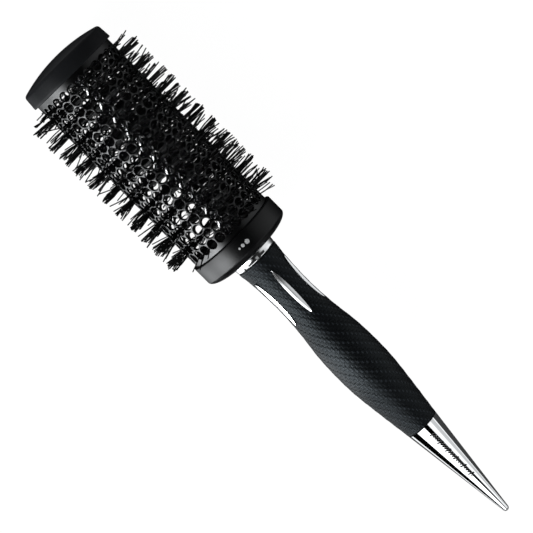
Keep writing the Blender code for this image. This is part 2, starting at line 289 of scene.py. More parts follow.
def satin_plastic(name, colour, roughness, shine, marked):
    """Satin black moulding with a spark-eroded grain. A marked one carries three printed size dots."""

    def build(g, point, station, bearing, radius):
        grain = g.noise(point, 5200.0, 2.0)
        cloud = g.noise(point, 110.0, 3.0)
        turned = g.streaks(station * 6000.0, bearing * 2.0, 0.0, 1.0)
        base = g.mottle(cloud, colour, 0.8, 1.25)
        rough = roughness + (cloud - 0.5) * 0.07 + (grain - 0.5) * 0.06
        if marked:
            along = station - DOTS_STATION
            round_it = bearing * CAP_RADIUS
            ink = 0.0
            for middle, dot in SIZE_DOTS:
                away = ((round_it - middle) * (round_it - middle) + along * along).root()
                ink = g.rise(away, dot + INK_EDGE, dot - INK_EDGE) + ink
            worn = ink * (0.72 + 0.28 * g.rise(g.noise(point, 3000.0, 2.0), 0.35, 0.55))
            base = g.blend(worn, base, (0.52, 0.52, 0.52, 1.0))
        return {
            "Base Color": base,
            "Roughness": rough,
            "Specular IOR Level": shine,
            "Normal": g.bump(grain + turned * 0.25, 0.006 * MM),
        }

    return finish_material(name, build)


def nylon(colour, roughness):
    """Extruded nylon filament: glossy, with drawn lines along it and a slightly greyer cut end."""

    def build(g, point, station, bearing, radius):
        along = g.streaks(station * 9000.0, bearing * 160.0, radius * 300.0, 2.0)
        each = g.streaks(station * 700.0, bearing * 14.0, 0.0, 1.0)
        end = g.rise(radius, BRISTLE_RADIUS - 0.9 * MM, BRISTLE_RADIUS)
        dark = g.mottle(each, colour, 0.6, 1.5)
        return {
            "Base Color": g.blend(end * 0.3, dark, (0.006, 0.006, 0.0065, 1.0)),
            "Roughness": roughness + (along - 0.5) * 0.15,
            "Specular IOR Level": 0.22,
            "Normal": g.bump(along, 0.01 * MM),
        }

    return finish_material("nylon_filament", build)


def drawn_metal(name, colour, roughness, scratch):
    """Bare drawn metal with lines along the brush and a little tarnish."""

    def build(g, point, station, bearing, radius):
        lines = g.streaks(station * 250.0, bearing * 40.0, radius * 9000.0, 3.0)
        tarnish = g.noise(point, 420.0, 3.0)
        return {
            "Base Color": g.mottle(g.rise(tarnish, 0.35, 0.65), colour, 0.72, 1.0),
            "Metallic": 1.0,
            "Roughness": roughness + (lines - 0.5) * 0.16 + (tarnish - 0.5) * 0.1,
            "Normal": g.bump(lines, scratch),
        }

    return finish_material(name, build)


def plain_moulding(colour, roughness):
    """The dark grey plastic of the parts inside, with flow marks."""

    def build(g, point, station, bearing, radius):
        flow = g.streaks(station * 300.0, bearing * 3.0, radius * 500.0, 3.0)
        grain = g.noise(point, 3000.0, 2.0)
        return {
            "Base Color": g.mottle(flow, colour, 0.8, 1.2),
            "Roughness": roughness + (grain - 0.5) * 0.12,
            "Normal": g.bump(grain, 0.01 * MM),
        }

    return finish_material("inner_moulding", build)


def chrome_plate(name, colour, roughness, engraved):
    """Bright chrome with hairlines and a trace of haze, engraved with a black-filled scale or plain."""

    def build(g, point, station, bearing, radius):
        hair = g.streaks(station * 400.0, bearing * 220.0, 0.0, 2.0)
        haze = g.noise(point, 180.0, 3.0)
        base = g.mottle(haze, colour, 0.96, 1.0)
        rough = roughness + haze * 0.02 + g.rise(hair, 0.6, 0.8) * 0.02
        height = hair * 0.3
        depth = 0.0008 * MM
        if engraved:
            mark = scale_marks(g, station, bearing * radius)
            base = g.blend(mark, base, (0.006, 0.006, 0.006, 1.0))
            rough = rough + mark * 0.4
            height = height - mark * 60.0
        return {
            "Base Color": base,
            "Metallic": 1.0,
            "Roughness": rough,
            "Normal": g.bump(height, depth),
        }

    return finish_material(name, build)


def scale_marks(g, station, arc):
    """A row of short slanted strokes, every fourth one longer: 1 where the engraving is."""
    pitch, slant, soft = 1.15 * MM, 0.45, 0.05 * MM
    start, end = TIP_START + 3.0 * MM, TIP_START + 27.5 * MM
    count = (station - start + arc * slant) / pitch
    long_one = (count.floor() % 4.0) < 0.5
    reach = 0.75 * MM + long_one * 0.5 * MM
    inside = g.band(station, start, end, 0.08 * MM)
    stroke = g.band(count.fraction(), 0.24, 0.72, 0.07)
    return stroke * g.rise(abs(arc), reach + soft, reach - soft) * inside


GROOVE = 0.16  # the share of a twill cell that the flank of a groove takes up
GROOVE_FLOOR = 0.02


def twill_grooves(g, along, around):
    """Where the stepped grooves of the twill lie, 0 to 1, in the cells of its relief."""
    phase = (along.floor() + around.floor()) % 4.0
    deep = phase < 0.5
    shallow = (phase > 1.5) * (phase < 2.5)
    near_end = g.rise(along.fraction(), GROOVE, GROOVE_FLOOR)
    near_side = g.rise(around.fraction(), GROOVE, GROOVE_FLOOR)
    return near_end.larger(near_side) * (deep + shallow * 0.4)


def twill_crest_highlights(g, along, around):
    """Where the painted highlights on the crests of the highest floats lie, 0 to 1, one in each four cells.
    """
    phase = (along.floor() + around.floor()) % 4.0
    length = g.band(along.fraction(), 0.14, 0.90, 0.06)
    return (phase > 0.5) * (phase < 1.5) * length * g.band(around.fraction(), 0.34, 0.66, 0.10)


def grip_rubber(colour, roughness, cells_round, cell_length):
    """Soft black rubber with a moulded twill, worn a little smoother on the belly, with painted shade in
    its grooves and painted highlights on its crests.
    """

    def build(g, point, station, bearing, radius):
        along = (station - RUBBER_START) / cell_length
        around = bearing * (cells_round / math.tau) + float(cells_round)  # kept above 0 for its phase
        groove = twill_grooves(g, along, around)
        grain = g.noise(point, 4200.0, 3.0)
        cloud = g.noise(point, 90.0, 3.0)
        fibres = g.streaks(along * 14.0, around * 3.0, 0.0, 2.0)
        light = g.mottle(cloud, colour, 0.85, 1.2)
        # painted shade: the rubber colour is darkened to a fifth in the stepped grooves
        base = g.blend(groove, light, rgb(colour, 0.2))
        # painted highlight: a light dash on the crest of each highest float stands in for its reflection
        base = g.blend(twill_crest_highlights(g, along, around), base, rgb(colour, 16.0))
        worn = g.rise(radius, 9.5 * MM, 11.0 * MM)
        return {
            "Base Color": base,
            "Roughness": roughness + (grain - 0.5) * 0.14 - worn * 0.05 + groove * 0.3,
            "Specular IOR Level": 0.2,
            "Specular Tint": (0.82, 0.93, 1.0, 1.0),
            "Normal": g.bump(grain * 0.6 + fibres * 0.5, 0.012 * MM),
        }

    return finish_material("grip_rubber", build)


def light_floor(brightness):
    """A pale floor that glows a little, as a light table does."""
    material = bpy.data.materials.new("pale_floor")
    g = Graph(material)
    glow = g.node("ShaderNodeEmission", {}, {"Color": (1.0, 1.0, 1.0, 1.0), "Strength": brightness})
    matte = g.node("ShaderNodeBsdfDiffuse", {}, {"Color": (0.06, 0.06, 0.06, 1.0)})
    both = g.node("ShaderNodeAddShader", {}, [glow, matte])
    g.node("ShaderNodeOutputMaterial", {}, {"Surface": both})
    return material


# Mesh work


def link_object(name, data):
    made = bpy.data.objects.new(name, data)
    bpy.context.scene.collection.objects.link(made)
    return made


def dress(mesh, material):
    mesh.materials.clear()
    mesh.materials.append(material)


def smooth(mesh, sharp_angle):
    mesh.shade_smooth()
    mesh.set_sharp_from_angle(angle=math.radians(sharp_angle))


def off_axis(point):
    """The way from the axis to a point, across the brush."""
    return Vector((0.0, point.y, point.z - AXIS_Z))


def mesh_from(name, points, faces, sharp_angle=40.0):
    mesh = bpy.data.meshes.new(name)
    mesh.from_pydata([tuple(p) for p in points], [], faces)
    work = bmesh.new()
    work.from_mesh(mesh)
    bmesh.ops.remove_doubles(work, verts=work.verts, dist=0.0005 * MM)
    bmesh.ops.recalc_face_normals(work, faces=work.faces)
    work.to_mesh(mesh)
    work.free()
    smooth(mesh, sharp_angle)
    return mesh


def add_piece(name, mesh, material, slot, *nodes):
    piece = link_object(name, mesh)
    dress(mesh, material)
    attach(piece, BODY)
    if nodes:
        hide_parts(*nodes)
    return piece


def restyle(node, material):
    """Gives a CAD node that stays in view its finish."""
    dress(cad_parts[node].data, material)


def add_turned(name, profile, count, closed, material, slot, node):
    add_piece(name, revolve(name, profile, count, closed), material, slot, node)


def arc(station, radius, reach, start, end, count, rise=None):
    """Points of an arc in the profile plane, in degrees: 0 points to the tip and 90 outward."""
    across = reach if rise is None else rise
    points = []
    for i in range(count):
        a = math.radians(start + (end - start) * i / (count - 1))
        points.append((station + reach * math.cos(a), radius + across * math.sin(a)))
    return points


def revolve(name, profile, count, closed):
    """A turned mesh from stations and radii, which start and end on the axis or close on themselves."""
    points, rings, faces = [], [], []
    for station, radius in profile:
        if radius == 0.0:
            rings.append([len(points)] * count)
            points.append(place(station, 0.0, 0.0))
            continue
        rings.append(range(len(points), len(points) + count))
        points += [place(station, radius, i * math.tau / count) for i in range(count)]
    pairs = list(zip(rings, rings[1:]))
    if closed:
        pairs.append((rings[-1], rings[0]))
    for first, second in pairs:
        for i in range(count):
            after = (i + 1) % count
            corners = [first[i], first[after], second[after], second[i]]
            faces.append(list(dict.fromkeys(corners)))
    return mesh_from(name, points, faces, 30.0)


def ring_faces(first, rings, count, closed=False):
    """Quads between rings of points that follow one another from the first point on."""
    faces = []
    for ring in range(rings if closed else rings - 1):
        a, b = first + ring * count, first + (ring + 1) % rings * count
        for k in range(count):
            after = (k + 1) % count
            faces.append((a + k, a + after, b + after, b + k))
    return faces


def out_and_side(bearing):
    """The direction out from the axis at a bearing, and the one round it towards greater bearings."""
    out = Vector((0.0, -math.sin(bearing), math.cos(bearing)))
    side = Vector((0.0, -math.cos(bearing), -math.sin(bearing)))
    return out, side


def smooth_radius(knots, station):
    """The radius at a station on the smooth curve through the knots."""
    last = len(knots) - 1
    slopes = []
    for i in range(last + 1):
        before, after = knots[max(i - 1, 0)], knots[min(i + 1, last)]
        slopes.append((after[1] - before[1]) / (after[0] - before[0]))
    i = max([k for k in range(last) if knots[k][0] <= station] or [0])
    span = knots[i + 1][0] - knots[i][0]
    t = (station - knots[i][0]) / span
    rise = (3 * t**2 - 2 * t**3) * (knots[i + 1][1] - knots[i][1])
    bend = (t**3 - 2 * t**2 + t) * slopes[i] + (t**3 - t**2) * slopes[i + 1]
    return knots[i][1] + rise + bend * span


def tubes(name, paths, radius, sides):
    """Round wires along paths of points. Each path comes with the direction its section starts from."""
    points, faces = [], []
    for path, start in paths:
        first = len(points)
        for i, centre in enumerate(path):
            ahead = (path[min(i + 1, len(path) - 1)] - path[max(i - 1, 0)]).normalized()
            reference = start if isinstance(start, Vector) else start(centre)
            side = (reference - ahead * reference.dot(ahead)).normalized()
            other = ahead.cross(side)
            for k in range(sides):
                a = k * math.tau / sides
                points.append(centre + radius * (math.cos(a) * side + math.sin(a) * other))
        faces += ring_faces(first, len(path), sides)
        faces.append([first + k for k in reversed(range(sides))])
        faces.append([len(points) - sides + k for k in range(sides)])
    mesh = bpy.data.meshes.new(name)
    mesh.from_pydata([tuple(p) for p in points], [], faces)
    smooth(mesh, 60.0)
    return mesh


# Settings


def length_setting(name, description, millimetres):
    return bpy.props.FloatProperty(
        name=name, description=description, default=millimetres * MM, unit="LENGTH", precision=5)


def angle_setting(name, description, degrees):
    return bpy.props.FloatProperty(
        name=name, description=description, default=math.radians(degrees), subtype="ANGLE")


def colour_setting(name, description, colour):
    return bpy.props.FloatVectorProperty(
        name=name, description=description, default=colour, subtype="COLOR")


def number_setting(name, description, number):
    return bpy.props.FloatProperty(name=name, description=description, default=number)


def count_setting(name, description, count):
    return bpy.props.IntProperty(name=name, description=description, default=count)


class BRUSH_PG_barrel(bpy.types.PropertyGroup):
    holes_round: count_setting("Holes Round", "Holes in one column", 27)
    hole_radius: length_setting("Hole Radius", "Radius of a punched hole", 1.87)
    lip: length_setting("Lip", "Depth of the rounded lip of a hole", 0.30)
    wall: length_setting("Wall", "Thickness of the metal", 0.90)
    colour: colour_setting("Coat", "Colour of the coat", (0.0009, 0.0009, 0.001))
    roughness: number_setting("Roughness", "Roughness of the coat", 0.24)


class BRUSH_PG_bristles(bpy.types.PropertyGroup):
    radius: length_setting("Filament Radius", "Radius of a filament", 0.235)
    density: number_setting("Density", "Filaments of one blade between two neighbouring holes", 4.9)
    pitch: length_setting("Lay", "Length of one full turn of the wire", 14.47)
    front_station: length_setting("Front Station", "Station where a strand faces straight up", 16.9)
    strand_radius: length_setting("Strand Radius", "Radius of one wire", 1.1)
    spread: length_setting("Spread", "Scatter of the filaments along the barrel", 0.9)
    lean: angle_setting("Lean", "Scatter of a filament's lean outside the barrel", 4.2)
    seed: count_setting("Seed", "Start of the random draws", 7)
    colour: colour_setting("Nylon", "Colour of the nylon", (0.0012, 0.0012, 0.0012))


class BRUSH_PG_plastic(bpy.types.PropertyGroup):
    colour: colour_setting("Collar", "Colour of the collar", (0.0004, 0.00045, 0.0006))
    cap_colour: colour_setting("Cap", "Colour of the end cap", (0.0105, 0.011, 0.012))
    roughness: number_setting("Roughness", "Roughness of the plastic", 0.31)


class BRUSH_PG_handle(bpy.types.PropertyGroup):
    cells_round: count_setting("Cells Round", "Twill cells round the grip, a multiple of four", 52)
    cell_length: length_setting("Cell Length", "Length of a twill cell", 1.34)
    relief: length_setting("Relief", "Depth of the twill", 0.09)
    rubber: colour_setting("Rubber", "Colour of the rubber", (0.0013, 0.0015, 0.0018))
    roughness: number_setting("Roughness", "Roughness of the rubber", 0.47)
    chrome: colour_setting("Chrome", "Colour of the chrome", (0.88, 0.88, 0.88))
    windows: count_setting("Windows", "Leaf windows round the grip", 6)
    window_turn: angle_setting("Window Turn", "Bearing of the top window", -2.7)
    window_station: length_setting("Window Station", "Middle of the windows", 128.6)
    window_length: length_setting("Window Length", "Length of a window", 23.2)
    window_width: length_setting("Window Width", "Width of a window", 2.6)


class BRUSH_PG_studio(bpy.types.PropertyGroup):
    lean: angle_setting("Lean", "Lean of the camera towards the cap", 7.8)
    distance: length_setting("Distance", "Camera distance", 850.0)
    lens: number_setting("Lens", "Focal length in millimetres", 146.0)
    aim: length_setting("Aim", "Station that the camera aims at", 116.0)
    aim_side: length_setting("Aim Side", "How far beside the axis the camera aims", 0.35)
    roll: angle_setting("Roll", "Angle of the brush across the picture", 45.12)
    panel: number_setting("Panel", "Radiance of the large soft panel", 22.0)
    fill: number_setting("Fill", "Radiance of the fill light", 0.95)
    floor: number_setting("Floor", "Glow of the floor", 0.98)


def settings(name):
    return getattr(bpy.context.scene, f"brush_{name}")


# Pieces


EDGE_POINTS = 9  # along the zigzag edge of an end cell
BAND_REACH = 0.62  # where the plain band starts, in cell widths from the middle of an end hole
SEAT_GAP = 0.12 * MM  # between the barrel and the cap or the collar that it sits in


def hexagon_reach(angle, flats):
    """The distance from the middle of a hexagon to its side, with one corner at angle 0."""
    return flats / 2 / math.cos(angle % (math.pi / 3) - math.pi / 6)


def barrel_mesh(s):
    """The punched tube: a hexagonal cell for each hole, and a plain band at each end.

    The cells are stretched along the brush, so that they meet between columns of any pitch."""
    sides = 24
    step = math.tau / s.holes_round
    flats = step * BARREL_RADIUS
    stretch = COLUMN_PITCH / (flats * math.cos(math.pi / 6))
    rings = [  # radius in the cell, or None for its hexagon, and depth below the outer surface
        (None, 0.0),
        (s.hole_radius + 0.32 * MM, 0.0),
        (s.hole_radius + 0.18 * MM, 0.10 * s.lip),
        (s.hole_radius + 0.07 * MM, 0.40 * s.lip),
        (s.hole_radius, s.lip),
        (s.hole_radius, s.wall),
        (None, s.wall),
    ]
    points, faces = [], []

    def cell_point(station, bearing, angle, radius, depth):
        reach = hexagon_reach(angle, flats) if radius is None else radius
        along = reach * math.cos(angle) * (stretch if radius is None else 1.0)
        return place(
            station + along, BARREL_RADIUS - depth, bearing + reach * math.sin(angle) / BARREL_RADIUS)

    angles = [k * math.tau / sides for k in range(sides)]
    for column in range(COLUMNS):
        station = FIRST_COLUMN + column * COLUMN_PITCH
        for hole in range(s.holes_round):
            bearing = (hole + column % 2 / 2) * step
            first = len(points)
            for radius, depth in rings:
                points += [cell_point(station, bearing, a, radius, depth) for a in angles]
            faces += ring_faces(first, len(rings), sides)
    for column, edge, turn in ((0, BARREL_START, math.pi), (COLUMNS - 1, BARREL_END, 0.0)):
        station = FIRST_COLUMN + column * COLUMN_PITCH
        band_start = station + math.cos(turn) * flats * BAND_REACH
        for hole in range(s.holes_round):
            bearing = (hole + column % 2 / 2) * step
            edge_angles = [turn + (k / 4 - 1) * math.pi / 3 for k in range(EDGE_POINTS)]
            rows = []
            for depth in (0.0, s.wall):
                zigzag = [cell_point(station, bearing, a, None, depth) for a in edge_angles]
                rounds = [hexagon_reach(a, flats) * math.sin(a) / BARREL_RADIUS for a in edge_angles]
                straight = [place(band_start, BARREL_RADIUS - depth, bearing + b) for b in rounds]
                end = [place(edge, BARREL_RADIUS - depth, bearing + b) for b in rounds]
                rows += [zigzag, straight, end] if depth == 0.0 else [end, straight, zigzag]
            first = len(points)
            points += [p for row in rows for p in row]
            for r in range(len(rows) - 1):
                for k in range(EDGE_POINTS - 1):
                    a = first + r * EDGE_POINTS + k
                    faces.append((a, a + 1, a + 1 + EDGE_POINTS, a + EDGE_POINTS))
    return mesh_from("barrel_shell", points, faces, 50.0)


class BRUSH_OT_barrel(bpy.types.Operator):
    """Build the punched barrel with its gloss black coat"""

    bl_idname = "brush.barrel"
    bl_label = "Barrel"

    def execute(self, context):
        s = settings("barrel")
        coat = barrel_coat(s.colour, s.roughness)
        add_piece("barrel_shell", barrel_mesh(s), coat, "barrel_metal", "barrel")
        return {"FINISHED"}


def strand_bearing(s, station):
    """The bearing of the first strand of the wire at a station."""
    return math.tau * (station - s.front_station) / s.pitch


class BRUSH_OT_wires(bpy.types.Operator):
    """Build the two strands of the twisted wire"""

    bl_idname = "brush.wires"
    bl_label = "Twisted Wire"

    def execute(self, context):
        s = settings("bristles")
        steel = drawn_metal("steel_wire", (0.66, 0.66, 0.67), 0.2, 0.002 * MM)
        lay = s.strand_radius + 0.12 * MM
        count = 160
        for i, name in enumerate(("core_wire_a", "core_wire_b")):
            path = []
            for k in range(count + 1):
                station = WIRE_START + (WIRE_END - WIRE_START) * k / count
                path.append(place(station, lay, strand_bearing(s, station) + i * math.pi))
            mesh = tubes(f"strand_{i + 1}", [(path, off_axis)], s.strand_radius, STRAND_SIDES)
            add_piece(f"strand_{i + 1}", mesh, steel, "wire_steel", name)
        return {"FINISHED"}


# The bearings of filaments that lean over towards the collar, and how many millimetres they lean
STRAYS = [(0.56, 2.6), (0.66, 3.3), (0.74, 2.9), (0.82, 2.5), (2.6, 2.0), (5.1, 2.0)]
ROOT_RADIUS = 1.6 * MM  # where a filament leaves the wire
KNEE_SHARE = 0.7  # the share of the barrel's radius up to which it stands straight
GATE_DEPTH = 0.5 * MM  # where it passes its hole, below the outer surface
HOLE_GAP = 0.12 * MM  # kept free beside it in the hole
CUT_SCATTER = 0.3 * MM  # of the cut ends
BOW_AROUND, BOW_ALONG = 0.12 * MM, 0.15 * MM  # scatter of a filament's middle
TURN_SCATTER = math.radians(3.0)  # scatter of a filament's bearing on the wire
FLOOR_GAP = 0.15 * MM
ALONG = Vector((1.0, 0.0, 0.0))


def nearest_hole(station, bearing, step):
    """The column of the nearest hole, and that hole's station and bearing."""
    holes = []
    guess = round((station - FIRST_COLUMN) / COLUMN_PITCH)
    for column in range(max(guess - 1, 0), min(guess + 2, COLUMNS)):
        offset = column % 2 / 2
        hole_bearing = (round(bearing / step - offset) + offset) * step
        hole_station = FIRST_COLUMN + column * COLUMN_PITCH
        away = math.hypot(station - hole_station, (bearing - hole_bearing) * BARREL_RADIUS)
        holes.append((away, column, hole_station, hole_bearing))
    return min(holes)[1:]


def filament_path(s, draw, root_station, station, bearing, hole, room):
    """A filament from the wire through a hole to its cut end."""
    hole_station, hole_bearing = hole
    along = station - hole_station
    across = (bearing - hole_bearing) * BARREL_RADIUS
    share = min(1.0, room * draw.uniform(0.55, 1.0) / max(math.hypot(along, across), 1e-9))
    root = place(root_station, ROOT_RADIUS, bearing)
    knee = place(root_station, KNEE_SHARE * BARREL_RADIUS, bearing)
    gate_bearing = hole_bearing + across * share / BARREL_RADIUS
    gate = place(hole_station + along * share, BARREL_RADIUS - GATE_DEPTH, gate_bearing)
    straight = (gate - root).normalized()
    outward = off_axis(gate).normalized()
    around = outward.cross(ALONG)
    heading = straight.lerp(outward, draw.uniform(0.0, 0.2))
    lean = s.lean * (2.2 if draw.random() < 0.25 else 1.0)  # about one in four leans more
    heading += ALONG * math.tan(draw.gauss(0.0, lean)) + around * math.tan(draw.gauss(0.0, lean))
    heading.normalize()
    length = BRISTLE_RADIUS + draw.gauss(0.0, CUT_SCATTER) - BARREL_RADIUS + GATE_DEPTH
    end = gate + heading * (length / heading.dot(outward))
    bow = around * draw.gauss(0.0, BOW_AROUND) + ALONG * draw.gauss(0.0, BOW_ALONG)
    middle = gate.lerp(end, 0.5) + bow
    if end.z < FLOOR_GAP:
        end = middle.lerp(end, (middle.z - FLOOR_GAP) / (middle.z - end.z))
    return [root, knee, gate, middle, end]


class BRUSH_OT_bristles(bpy.types.Operator):
    """Build the nylon filaments, one piece for each column of holes"""

    bl_idname = "brush.bristles"
    bl_label = "Bristles"

    def execute(self, context):
        s = settings("bristles")
        barrel = settings("barrel")
        step = math.tau / barrel.holes_round
        room = barrel.hole_radius - s.radius - HOLE_GAP
        draw = random.Random(s.seed)
        paths = [[] for _ in range(COLUMNS)]
        start, end = FIRST_COLUMN - 2.2 * MM, LAST_COLUMN + 0.8 * MM  # of the filaments on the wire
        per_turn = s.density * barrel.holes_round
        count = int((end - start) / s.pitch * per_turn)
        for blade in (0.5, 1.5):
            for i in range(count):
                station = start + s.pitch * i / per_turn
                bearing = strand_bearing(s, station) + blade * math.pi
                root = station + draw.gauss(0.0, 0.3 * s.spread)
                station += draw.gauss(0.0, s.spread)
                bearing = (bearing + draw.gauss(0.0, TURN_SCATTER)) % math.tau
                column, *hole = nearest_hole(station, bearing, step)
                path = filament_path(s, draw, root, station, bearing, hole, room)
                paths[column].append((path, ALONG))
        for bearing, lean in STRAYS:
            column, *hole = nearest_hole(LAST_COLUMN, bearing, step)
            path = filament_path(s, draw, LAST_COLUMN, LAST_COLUMN, bearing, hole, room)
            path[3].x += lean * MM / 2
            path[4].x += lean * MM
            paths[column].append((path, ALONG))
        material = nylon(s.colour, 0.3)
        last_x = CROWN_X + COLLAR_START - 0.35 * MM  # no filament reaches the collar
        for column, of_column in enumerate(paths):
            for path, start in of_column:
                for point in path:
                    point.x = min(point.x, last_x)
            name = f"bristle_tufts_{column + 1:02d}"
            node = f"bristle_turn_{column + 1:02d}"
            tufts = tubes(name, of_column, s.radius, FILAMENT_SIDES)
            add_piece(name, tufts, material, "bristle_nylon", node)
        return {"FINISHED"}


class BRUSH_OT_cap(bpy.types.Operator):
    """Build the domed end cap"""

    bl_idname = "brush.cap"
    bl_label = "End Cap"

    def execute(self, context):
        s = settings("plastic")
        dome, edge, taper = 68.0 * MM, 1.6 * MM, 0.35 * MM
        shoulder = CAP_RADIUS - taper
        edge_angle = math.degrees(math.asin((shoulder - edge) / (dome - edge)))
        edge_centre = dome - (dome - edge) * math.cos(math.radians(edge_angle))
        seat = BARREL_RADIUS + SEAT_GAP
        rim = 0.35 * MM
        rim_floor, middle_floor = 4.7 * MM, 3.2 * MM
        profile = [
            (0.0, 0.0),
            *arc(dome, 0.0, dome, 179.0, 180.0 - edge_angle, 22),
            *arc(edge_centre, shoulder - edge, edge, 180.0 - edge_angle, 96.0, 8)[1:],
            (CAP_END - 1.2 * MM, CAP_RADIUS - 0.05 * MM),
            *arc(CAP_END - rim, CAP_RADIUS - rim, rim, 90.0, 0.0, 5),
            (CAP_END, seat + 0.1 * MM),
            (CAP_END - 0.1 * MM, seat),
            (rim_floor, seat),
            (rim_floor, 16.0 * MM),
            (middle_floor, 12.0 * MM),
            (middle_floor, 0.0),
        ]
        material = satin_plastic("satin_black_cap", s.cap_colour, s.roughness, 0.06, False)
        add_turned("end_cap_moulding", profile, ROUND_STEPS, False, material, "cap_plastic", "end_cap")
        return {"FINISHED"}


class BRUSH_OT_collar(bpy.types.Operator):
    """Build the collar between the barrel and the handle"""

    bl_idname = "brush.collar"
    bl_label = "Collar"

    def execute(self, context):
        s = settings("plastic")
        neck, bore = 9.9 * MM, 4.8 * MM
        pocket, rim_floor = 104.6 * MM, 100.5 * MM
        edge = COLLAR_END - 4.3 * MM
        back = COLLAR_END - 0.7 * MM
        rim = 0.5 * MM
        seat = BARREL_RADIUS + SEAT_GAP
        profile = [
            (COLLAR_START, seat + 0.15 * MM),
            *arc(COLLAR_START + rim, CAP_RADIUS - rim, rim, 180.0, 90.0, 6),
            (edge, CAP_RADIUS),
            *arc(edge, neck, back - edge, 90.0, 0.0, 26, CAP_RADIUS - neck)[1:],
            (back, bore),
            (pocket, bore),
            (pocket, 10.5 * MM),
            (rim_floor, 17.4 * MM),
            (rim_floor, seat),
            (COLLAR_START + 0.2 * MM, seat),
        ]
        material = satin_plastic("satin_black_collar", s.colour, s.roughness, 0.26, True)
        add_turned("collar_moulding", profile, ROUND_STEPS, True, material, "cap_plastic", "collar")
        return {"FINISHED"}


class BRUSH_OT_inside(bpy.types.Operator):
    """Give the hubs, the ferrules, the core and the stud their finishes"""

    bl_idname = "brush.inside"
    bl_label = "Inner Parts"

    def execute(self, context):
        moulding = plain_moulding((0.03, 0.03, 0.033), 0.55)
        for node in ("end_hub", "base_hub", "handle_core"):
            restyle(node, moulding)
        brass = drawn_metal("brass_crimp", (0.70, 0.55, 0.28), 0.32, 0.004 * MM)
        for node in ("end_ferrule", "base_ferrule"):
            restyle(node, brass)
        restyle("tip_stud", drawn_metal("stud_steel", (0.6, 0.6, 0.61), 0.3, 0.004 * MM))
        return {"FINISHED"}


def leaf_half_width(t, width):
    return width / 2 * max(0.0, math.sin(math.pi * t)) ** 0.5


def grip_knots():
    """Stations and radii of the grip from its neck over the waist and the belly to the tip."""
    return [
        (GRIP_START, 9.65 * MM),
        (118.5 * MM, 8.80 * MM),
        (132.5 * MM, 8.35 * MM),
        (144.5 * MM, 9.10 * MM),
        (156.5 * MM, 10.55 * MM),
        (167.0 * MM, 11.00 * MM),
        (177.0 * MM, 10.75 * MM),
        (189.0 * MM, 9.45 * MM),
        (GRIP_END, 7.30 * MM),
    ]


def window_bearings(s):
    return [s.window_turn + i * math.tau / s.windows for i in range(s.windows)]


def leaf_prisms(s):
    """The cutters of the windows as one mesh."""
    points, faces = [], []
    count = 28
    for bearing in window_bearings(s):
        outline = [(i / count, leaf_half_width(i / count, s.window_width)) for i in range(count + 1)]
        outline += [(t, -w) for t, w in reversed(outline[1:-1])]
        first = len(points)
        middle = place(s.window_station, 0.0, 0.0)
        out, side = out_and_side(bearing)
        for level in (5.0 * MM, 13.0 * MM):
            for t, w in outline:
                along = Vector(((t - 0.5) * s.window_length, 0.0, 0.0))
                points.append(middle + along + out * level + side * w)
        n = len(outline)
        faces.append([first + k for k in range(n)])
        faces.append([first + n + k for k in reversed(range(n))])
        for k in range(n):
            after = (k + 1) % n
            faces.append((first + after, first + k, first + n + k, first + n + after))
    return mesh_from("window_cutters", points, faces)


def twill_relief(along, around):
    """The relief of the twill at a point, from -1 in a stepped groove to about 0.5 on a float.

    Axial yarns lie on top in phases 0 and 1. Their end, towards phase 0, is the deep stepped groove."""
    column, row = math.floor(along + 1e-6), math.floor(around + 1e-6)
    u, v = along + 1e-6 - column, around + 1e-6 - row
    phase = (column + row) % 4
    height = 0.0
    for share in (u, v):
        if share < GROOVE_FLOOR:
            height = min(height, {0: -1.0, 2: -0.45}.get(phase, 0.0))
    if phase in (0, 1) and height == 0.0:
        height = 0.75 * (1.0 - abs(v * 2.0 - 1.0) ** 1.5) * (1.0 if phase == 1 else 0.45)
    return height


def window_clearance(s, station, radius, bearing):
    """How far a point of the rubber lies outside the nearest window, along the surface."""
    t = (station - s.window_station) / s.window_length + 0.5
    beyond = max(0.0, -t, t - 1.0) * s.window_length
    half = leaf_half_width(min(max(t, 0.0), 1.0), s.window_width)
    pitch = math.tau / s.windows
    away = abs((bearing - s.window_turn + pitch / 2) % pitch - pitch / 2) * radius
    return math.hypot(beyond, max(0.0, away - half))


def cell_shares(cells):
    """Positions in cells: each boundary, both shoulders of its groove and each middle."""
    return [cell + share for cell in range(cells) for share in (0.0, GROOVE, 0.5, 1.0 - GROOVE)]


def grip_mesh(s):
    """The rubber sleeve with its twill in relief, before the windows are cut."""
    knots = grip_knots()
    length = RUBBER_END - RUBBER_START
    cells_long = round(length / s.cell_length)
    arounds = cell_shares(s.cells_round)
    lip = 0.3 * MM
    plain_end, end_rise, window_rise = 0.7 * MM, 0.8 * MM, 0.7 * MM
    crown = 0.55  # the height of the relief that lies on the outline
    rows = []
    for along in [*cell_shares(cells_long), cells_long]:
        station = RUBBER_START + length * along / cells_long
        body = smooth_radius(knots, station)
        from_end = min(station - RUBBER_START, RUBBER_END - station)
        body -= lip * (1 - math.sqrt(max(0.0, 1 - max(0.0, 1 - from_end / (1.5 * lip)) ** 2)))
        end_fade = min(1.0, max(0.0, from_end - plain_end) / end_rise)
        row = []
        for around in arounds:
            bearing = around / s.cells_round * math.tau
            fade = end_fade * min(1.0, window_clearance(s, station, body, bearing) / window_rise)
            height = (twill_relief(along, around) - crown) * s.relief * fade
            row.append(place(station, body + height, bearing))
        rows.append(row)
    bore = [
        (RUBBER_END, 5.5 * MM),
        (203.0 * MM, 5.5 * MM),
        (167.0 * MM, 8.95 * MM),
        (145.0 * MM, 7.6 * MM),
        (SLEEVE_END, 7.5 * MM),
        (RUBBER_START, 7.5 * MM),
    ]
    for station, radius in bore:
        rows.append([place(station, radius, around / s.cells_round * math.tau) for around in arounds])
    points = [p for row in rows for p in row]
    faces = ring_faces(0, len(rows), len(arounds), closed=True)
    return mesh_from("grip_sleeve", points, faces, 60.0)


